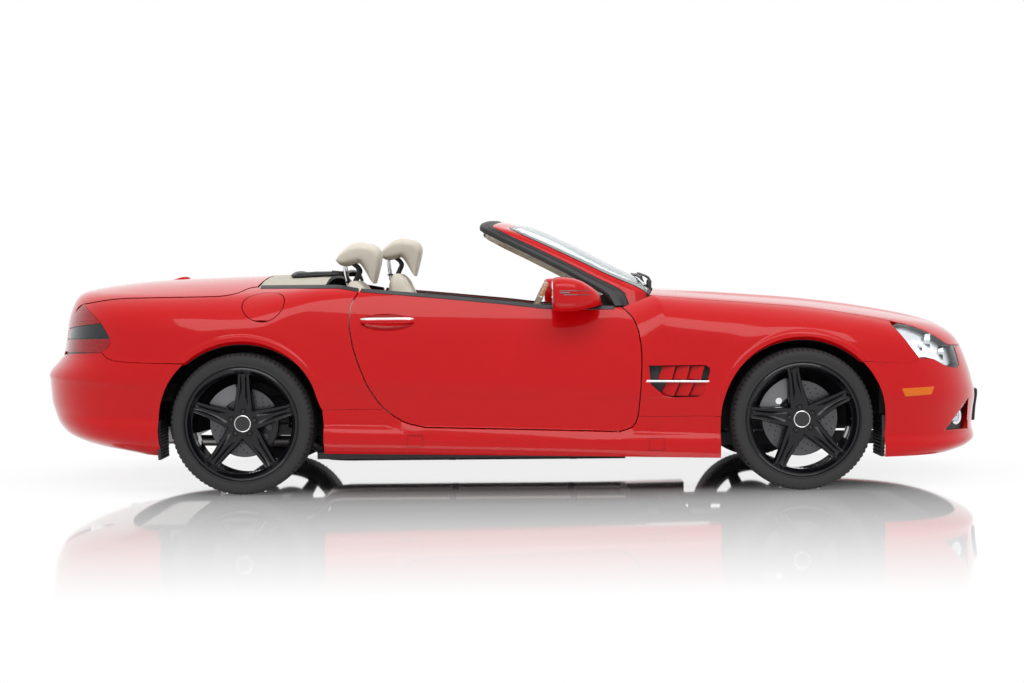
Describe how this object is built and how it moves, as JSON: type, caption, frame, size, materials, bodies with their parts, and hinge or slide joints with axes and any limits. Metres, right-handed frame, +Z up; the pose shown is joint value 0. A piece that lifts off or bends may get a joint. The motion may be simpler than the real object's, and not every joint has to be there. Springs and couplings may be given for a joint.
{
  "type": "convertible car",
  "caption": "Two-seat convertible car with its roof stowed: hood, doors, boot lid and fuel flap open, the front wheels steer and every wheel turns.",
  "frame": {"origin": "on the ground under the middle of the car's box", "axes": "+X forward, +Y to the car's left, +Z up"},
  "size_m": [4.5848, 2.057, 1.2769],
  "materials": {
    "red_paint": "glossy clear-coated red",
    "chrome": "polished chrome",
    "lamp_glass": "clear lens over a bright reflector",
    "red_lens": "glossy red lens with a dark band",
    "grille_silver": "silver slats before black mesh",
    "screen_glass": "clear glass with a faint tint",
    "cream_leather": "soft grained cream leather",
    "black_trim": "soft grained black",
    "wood_and_leather": "glossy wood and leather rim",
    "tyre": "dull black rubber",
    "black_wheel": "glossy black",
    "black_plastic": "dull black",
    "cast_metal": "rough cast grey",
    "steel": "dull steel",
    "underbody": "dull black coating"
  },
  "bodies": {
    "root": {"front_fenders": "red_paint", "rear_quarters": "red_paint", "front_bumper": "red_paint", "rear_bumper": "red_paint", "side_skirts": "red_paint", "headlamps": "lamp_glass", "tail_lamps": "red_lens", "grille": "grille_silver", "plate_bracket": "black_plastic", "windscreen": "screen_glass", "windscreen_frame": "red_paint", "wipers": "black_plastic", "cowl": "black_plastic", "rear_deck": "black_plastic", "floor_pan": "underbody", "bulkheads": "underbody", "wheel_arch_liners": "black_plastic", "dashboard": "black_trim", "centre_console": "black_trim", "steering_column": "black_trim", "seats": "cream_leather", "headrests": "cream_leather", "engine": "cast_metal", "radiator": "black_plastic", "front_subframe": "underbody", "rear_subframe": "underbody", "drive_shafts": "steel", "exhaust": "steel"},
    "hood": {"hood": "red_paint"},
    "boot_lid": {"boot_lid": "red_paint"},
    "fuel_flap": {"fuel_flap": "red_paint"},
    "door_right": {"door_right": "red_paint", "door_handle_right": "chrome", "mirror_right": "red_paint"},
    "door_left": {"door_left": "red_paint", "door_handle_left": "chrome", "mirror_left": "red_paint"},
    "knuckle_right": {"knuckle_right": "cast_metal"},
    "knuckle_left": {"knuckle_left": "cast_metal"},
    "wheel_front_right": {"wheel_front_right": "black_wheel", "tyre_front_right": "tyre"},
    "wheel_front_left": {"wheel_front_left": "black_wheel", "tyre_front_left": "tyre"},
    "wheel_rear_right": {"wheel_rear_right": "black_wheel", "tyre_rear_right": "tyre"},
    "wheel_rear_left": {"wheel_rear_left": "black_wheel", "tyre_rear_left": "tyre"},
    "steering_wheel": {"steering_wheel": "wood_and_leather"}
  },
  "joints": [
    {"name": "knuckle_left_steer", "type": "hinge", "parent": "root", "child": "knuckle_left", "pos_m": [1.323, 0.72, 0.325], "axis": [0, 0, 1], "range_deg": [-33, 33]},
    {"name": "knuckle_right_steer", "type": "hinge", "parent": "root", "child": "knuckle_right", "pos_m": [1.323, -0.72, 0.325], "axis": [0, 0, 1], "range_deg": [-33, 33]},
    {"name": "steering_wheel_turn", "type": "hinge", "parent": "root", "child": "steering_wheel", "pos_m": [0.111, 0.37, 0.796], "axis": [-0.9135, 0, 0.4067], "range_deg": [-462, 462]},
    {"name": "wheel_front_left_spin", "type": "hinge", "parent": "knuckle_left", "child": "wheel_front_left", "pos_m": [1.323, 0.78, 0.325], "axis": [0, 1, 0], "continuous": true},
    {"name": "wheel_front_right_spin", "type": "hinge", "parent": "knuckle_right", "child": "wheel_front_right", "pos_m": [1.323, -0.78, 0.325], "axis": [0, 1, 0], "continuous": true},
    {"name": "wheel_rear_left_spin", "type": "hinge", "parent": "root", "child": "wheel_rear_left", "pos_m": [-1.237, 0.77, 0.325], "axis": [0, 1, 0], "continuous": true},
    {"name": "wheel_rear_right_spin", "type": "hinge", "parent": "root", "child": "wheel_rear_right", "pos_m": [-1.237, -0.77, 0.325], "axis": [0, 1, 0], "continuous": true},
    {"name": "door_left_swing", "type": "hinge", "parent": "root", "child": "door_left", "pos_m": [0.595, 0.911, 0.6], "axis": [0, 0, -1], "range_deg": [0, 65]},
    {"name": "door_right_swing", "type": "hinge", "parent": "root", "child": "door_right", "pos_m": [0.595, -0.911, 0.6], "axis": [0, 0, 1], "range_deg": [0, 65]},
    {"name": "hood_lift", "type": "hinge", "parent": "root", "child": "hood", "pos_m": [0.672, 0, 0.93], "axis": [0, -1, 0], "range_deg": [0, 45]},
    {"name": "boot_lid_lift", "type": "hinge", "parent": "root", "child": "boot_lid", "pos_m": [-1.178, 0, 1.012], "axis": [0, 1, 0], "range_deg": [0, 70]},
    {"name": "fuel_flap_swing", "type": "hinge", "parent": "root", "child": "fuel_flap", "pos_m": [-1.039, -0.82829, 0.88099], "axis": [0, 0.749, 0.6626], "range_deg": [0, 90]}
  ],
  "couplings": [
    {"joint": "knuckle_right_steer", "follows": "knuckle_left_steer", "ratio": 1},
    {"joint": "steering_wheel_turn", "follows": "knuckle_left_steer", "ratio": 14}
  ]
}
